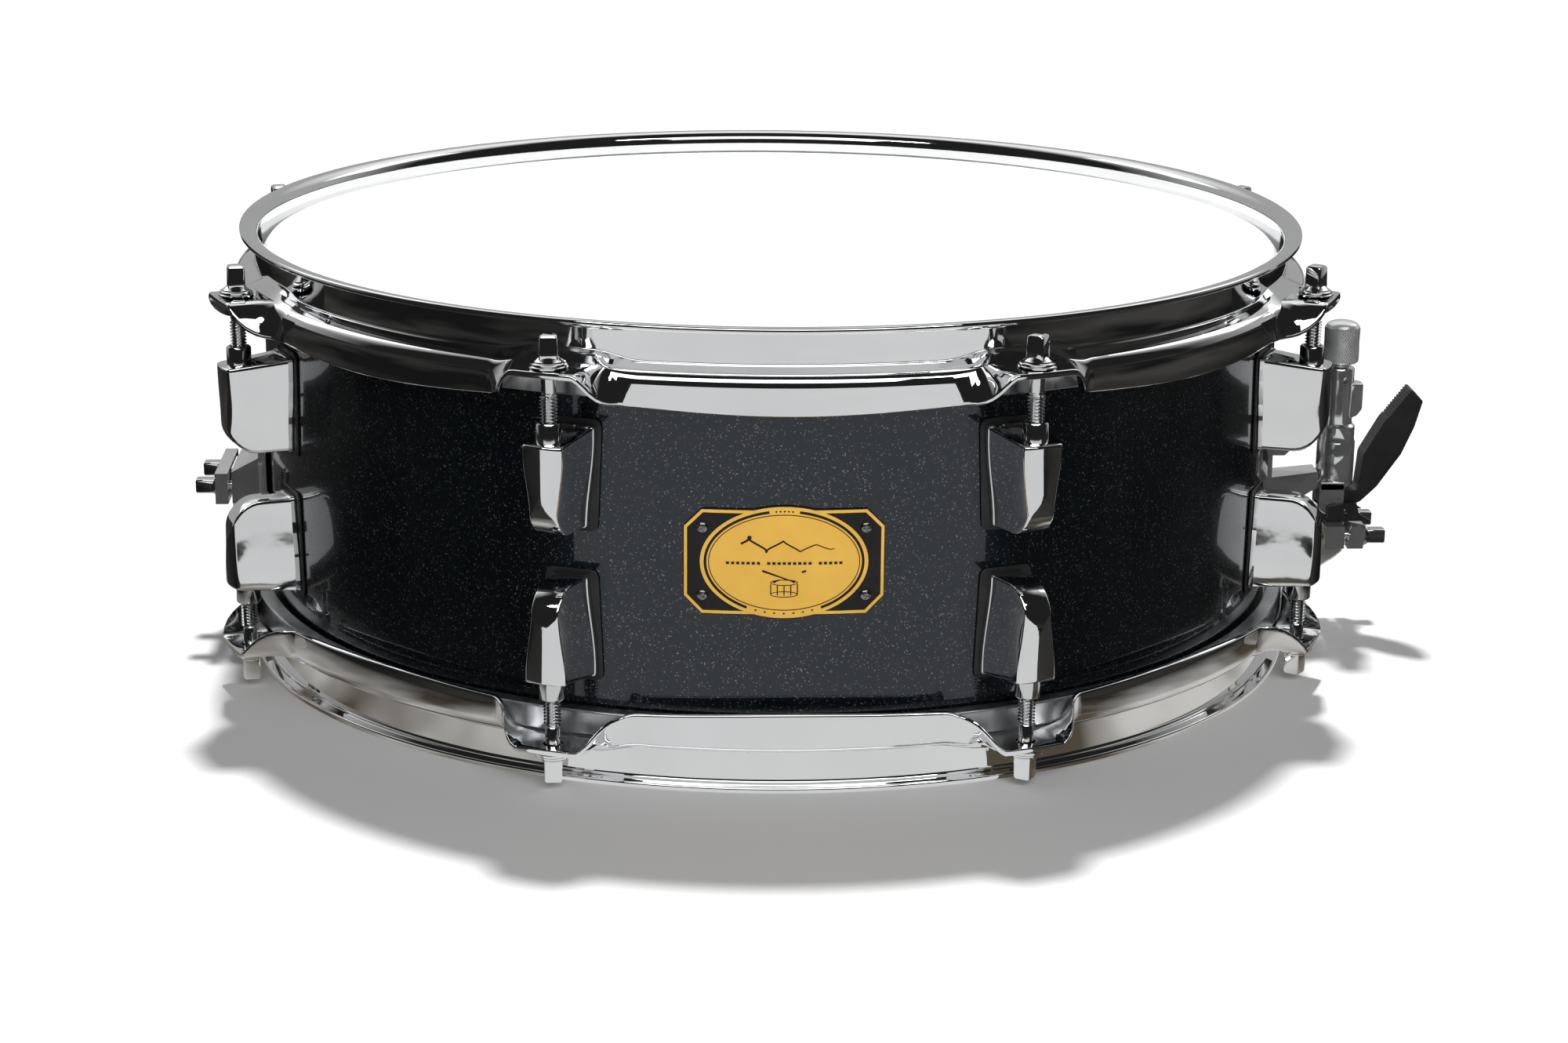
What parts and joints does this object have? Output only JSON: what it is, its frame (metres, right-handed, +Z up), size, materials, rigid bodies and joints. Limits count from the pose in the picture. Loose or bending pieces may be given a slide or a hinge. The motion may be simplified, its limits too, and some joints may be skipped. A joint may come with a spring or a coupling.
{
  "type": "snare drum",
  "caption": "Snare drum: sparkle-wrapped shell between two triple-flanged hoops, with chrome lugs and tension rods, a lever strainer, a butt clamp, snare wires and two heads.",
  "frame": {"origin": "middle of the drum's overall box, on the floor under the snare-side hoop's rim", "axes": "+Z up along the shell's axis, +X out through the strainer, -Y out through the badge; the shell's own axis is 15.55 mm towards -X, because the strainer reaches further than the butt"},
  "size_m": [0.4388, 0.3796, 0.1492],
  "materials": {
    "wood_shell": "clear sealed plywood",
    "sparkle_finish": "high gloss, fine silver-blue sparkle",
    "chrome": "polished plating",
    "batter_film": "white coated film",
    "snare_side_film": "thin clear film",
    "aluminium": "satin rolled channel",
    "black_metal": "satin black",
    "badge": "enamelled, semi-gloss",
    "steel": "bright wire",
    "strap": "translucent strip"
  },
  "bodies": {
    "drum": {"shell": "wood_shell", "shell_wrap": "sparkle_finish", "vent_grommet": "chrome", "badge": "badge", "batter_head": "batter_film", "snare_side_head": "snare_side_film", "batter_lug_1": "chrome", "batter_lug_2": "chrome", "batter_lug_3": "chrome", "batter_lug_4": "chrome", "batter_lug_5": "chrome", "batter_lug_6": "chrome", "batter_lug_7": "chrome", "batter_lug_8": "chrome", "snare_side_lug_1": "chrome", "snare_side_lug_2": "chrome", "snare_side_lug_3": "chrome", "snare_side_lug_4": "chrome", "snare_side_lug_5": "chrome", "snare_side_lug_6": "chrome", "snare_side_lug_7": "chrome", "snare_side_lug_8": "chrome", "strainer_bracket": "chrome", "strainer_body": "chrome", "lever_pin": "steel", "butt_plate": "chrome", "butt_clamp_jaw": "chrome", "butt_clamp_screw_1": "chrome", "butt_clamp_screw_2": "chrome", "butt_strap": "strap"},
    "batter_hoop": {"batter_hoop": "chrome", "batter_flesh_hoop": "aluminium"},
    "snare_side_hoop": {"snare_side_hoop": "chrome", "snare_side_flesh_hoop": "aluminium"},
    "lever": {"throw_off_lever": "black_metal"},
    "carriage": {"strainer_carriage": "black_metal"},
    "clamp": {"snare_clamp_block": "chrome", "snare_clamp_jaw": "chrome", "snare_clamp_screw_1": "chrome", "snare_clamp_screw_2": "chrome"},
    "knob": {"snare_tension_knob": "chrome"},
    "snares": {"snare_wires": "steel", "strainer_strap": "strap"},
    "batter_rod_1": {"batter_tension_rod_1": "chrome"},
    "batter_rod_2": {"batter_tension_rod_2": "chrome"},
    "batter_rod_3": {"batter_tension_rod_3": "chrome"},
    "batter_rod_4": {"batter_tension_rod_4": "chrome"},
    "batter_rod_5": {"batter_tension_rod_5": "chrome"},
    "batter_rod_6": {"batter_tension_rod_6": "chrome"},
    "batter_rod_7": {"batter_tension_rod_7": "chrome"},
    "batter_rod_8": {"batter_tension_rod_8": "chrome"},
    "snare_side_rod_1": {"snare_side_tension_rod_1": "chrome"},
    "snare_side_rod_2": {"snare_side_tension_rod_2": "chrome"},
    "snare_side_rod_3": {"snare_side_tension_rod_3": "chrome"},
    "snare_side_rod_4": {"snare_side_tension_rod_4": "chrome"},
    "snare_side_rod_5": {"snare_side_tension_rod_5": "chrome"},
    "snare_side_rod_6": {"snare_side_tension_rod_6": "chrome"},
    "snare_side_rod_7": {"snare_side_tension_rod_7": "chrome"},
    "snare_side_rod_8": {"snare_side_tension_rod_8": "chrome"}
  },
  "joints": [
    {"name": "batter_tuning", "type": "slide", "parent": "drum", "child": "batter_hoop", "axis": [0, 0, 1], "range_m": [0, 0.0025]},
    {"name": "batter_rod_1_turn", "type": "hinge", "parent": "batter_hoop", "child": "batter_rod_1", "pos_m": [0.05888, -0.17969, 0.1346], "axis": [0, 0, 1], "range_deg": [0, 851]},
    {"name": "batter_rod_2_turn", "type": "hinge", "parent": "batter_hoop", "child": "batter_rod_2", "pos_m": [0.16414, -0.07443, 0.1346], "axis": [0, 0, 1], "range_deg": [0, 851]},
    {"name": "batter_rod_3_turn", "type": "hinge", "parent": "batter_hoop", "child": "batter_rod_3", "pos_m": [0.16414, 0.07443, 0.1346], "axis": [0, 0, 1], "range_deg": [0, 851]},
    {"name": "batter_rod_4_turn", "type": "hinge", "parent": "batter_hoop", "child": "batter_rod_4", "pos_m": [0.05888, 0.17969, 0.1346], "axis": [0, 0, 1], "range_deg": [0, 851]},
    {"name": "batter_rod_5_turn", "type": "hinge", "parent": "batter_hoop", "child": "batter_rod_5", "pos_m": [-0.08998, 0.17969, 0.1346], "axis": [0, 0, 1], "range_deg": [0, 851]},
    {"name": "batter_rod_6_turn", "type": "hinge", "parent": "batter_hoop", "child": "batter_rod_6", "pos_m": [-0.19524, 0.07443, 0.1346], "axis": [0, 0, 1], "range_deg": [0, 851]},
    {"name": "batter_rod_7_turn", "type": "hinge", "parent": "batter_hoop", "child": "batter_rod_7", "pos_m": [-0.19524, -0.07443, 0.1346], "axis": [0, 0, 1], "range_deg": [0, 851]},
    {"name": "batter_rod_8_turn", "type": "hinge", "parent": "batter_hoop", "child": "batter_rod_8", "pos_m": [-0.08998, -0.17969, 0.1346], "axis": [0, 0, 1], "range_deg": [0, 851]},
    {"name": "snare_side_tuning", "type": "slide", "parent": "drum", "child": "snare_side_hoop", "axis": [0, 0, -1], "range_m": [0, 0.0025]},
    {"name": "snare_side_rod_1_turn", "type": "hinge", "parent": "snare_side_hoop", "child": "snare_side_rod_1", "pos_m": [0.05888, -0.17969, 0.0146], "axis": [0, 0, -1], "range_deg": [0, 851]},
    {"name": "snare_side_rod_2_turn", "type": "hinge", "parent": "snare_side_hoop", "child": "snare_side_rod_2", "pos_m": [0.16414, -0.07443, 0.0146], "axis": [0, 0, -1], "range_deg": [0, 851]},
    {"name": "snare_side_rod_3_turn", "type": "hinge", "parent": "snare_side_hoop", "child": "snare_side_rod_3", "pos_m": [0.16414, 0.07443, 0.0146], "axis": [0, 0, -1], "range_deg": [0, 851]},
    {"name": "snare_side_rod_4_turn", "type": "hinge", "parent": "snare_side_hoop", "child": "snare_side_rod_4", "pos_m": [0.05888, 0.17969, 0.0146], "axis": [0, 0, -1], "range_deg": [0, 851]},
    {"name": "snare_side_rod_5_turn", "type": "hinge", "parent": "snare_side_hoop", "child": "snare_side_rod_5", "pos_m": [-0.08998, 0.17969, 0.0146], "axis": [0, 0, -1], "range_deg": [0, 851]},
    {"name": "snare_side_rod_6_turn", "type": "hinge", "parent": "snare_side_hoop", "child": "snare_side_rod_6", "pos_m": [-0.19524, 0.07443, 0.0146], "axis": [0, 0, -1], "range_deg": [0, 851]},
    {"name": "snare_side_rod_7_turn", "type": "hinge", "parent": "snare_side_hoop", "child": "snare_side_rod_7", "pos_m": [-0.19524, -0.07443, 0.0146], "axis": [0, 0, -1], "range_deg": [0, 851]},
    {"name": "snare_side_rod_8_turn", "type": "hinge", "parent": "snare_side_hoop", "child": "snare_side_rod_8", "pos_m": [-0.08998, -0.17969, 0.0146], "axis": [0, 0, -1], "range_deg": [0, 851]},
    {"name": "lever_throw", "type": "hinge", "parent": "drum", "child": "lever", "pos_m": [0.18825, 0, 0.0446], "axis": [0, 1, 0], "range_deg": [0, 60]},
    {"name": "carriage_drop", "type": "slide", "parent": "drum", "child": "carriage", "axis": [0, 0, -1], "range_m": [0, 0.004]},
    {"name": "knob_turn", "type": "hinge", "parent": "drum", "child": "knob", "pos_m": [0.18975, 0, 0.1026], "axis": [0, 0, 1], "range_deg": [0, 905]},
    {"name": "clamp_lower", "type": "slide", "parent": "carriage", "child": "clamp", "axis": [0, 0, -1], "range_m": [0, 0.002]},
    {"name": "snares_drop", "type": "hinge", "parent": "drum", "child": "snares", "pos_m": [-0.19355, 0, 0.0063], "axis": [0, 1, 0], "range_deg": [0, 0.6]}
  ],
  "couplings": [
    {"joint": "batter_rod_1_turn", "follows": "batter_tuning", "rad_per_m": 5938.7},
    {"joint": "batter_rod_2_turn", "follows": "batter_tuning", "rad_per_m": 5938.7},
    {"joint": "batter_rod_3_turn", "follows": "batter_tuning", "rad_per_m": 5938.7},
    {"joint": "batter_rod_4_turn", "follows": "batter_tuning", "rad_per_m": 5938.7},
    {"joint": "batter_rod_5_turn", "follows": "batter_tuning", "rad_per_m": 5938.7},
    {"joint": "batter_rod_6_turn", "follows": "batter_tuning", "rad_per_m": 5938.7},
    {"joint": "batter_rod_7_turn", "follows": "batter_tuning", "rad_per_m": 5938.7},
    {"joint": "batter_rod_8_turn", "follows": "batter_tuning", "rad_per_m": 5938.7},
    {"joint": "snare_side_rod_1_turn", "follows": "snare_side_tuning", "rad_per_m": 5938.7},
    {"joint": "snare_side_rod_2_turn", "follows": "snare_side_tuning", "rad_per_m": 5938.7},
    {"joint": "snare_side_rod_3_turn", "follows": "snare_side_tuning", "rad_per_m": 5938.7},
    {"joint": "snare_side_rod_4_turn", "follows": "snare_side_tuning", "rad_per_m": 5938.7},
    {"joint": "snare_side_rod_5_turn", "follows": "snare_side_tuning", "rad_per_m": 5938.7},
    {"joint": "snare_side_rod_6_turn", "follows": "snare_side_tuning", "rad_per_m": 5938.7},
    {"joint": "snare_side_rod_7_turn", "follows": "snare_side_tuning", "rad_per_m": 5938.7},
    {"joint": "snare_side_rod_8_turn", "follows": "snare_side_tuning", "rad_per_m": 5938.7},
    {"joint": "carriage_drop", "follows": "lever_throw", "m_per_rad": 0.00381},
    {"joint": "snares_drop", "follows": "lever_throw", "ratio": 0.0099},
    {"joint": "knob_turn", "follows": "clamp_lower", "rad_per_m": 7854}
  ]
}
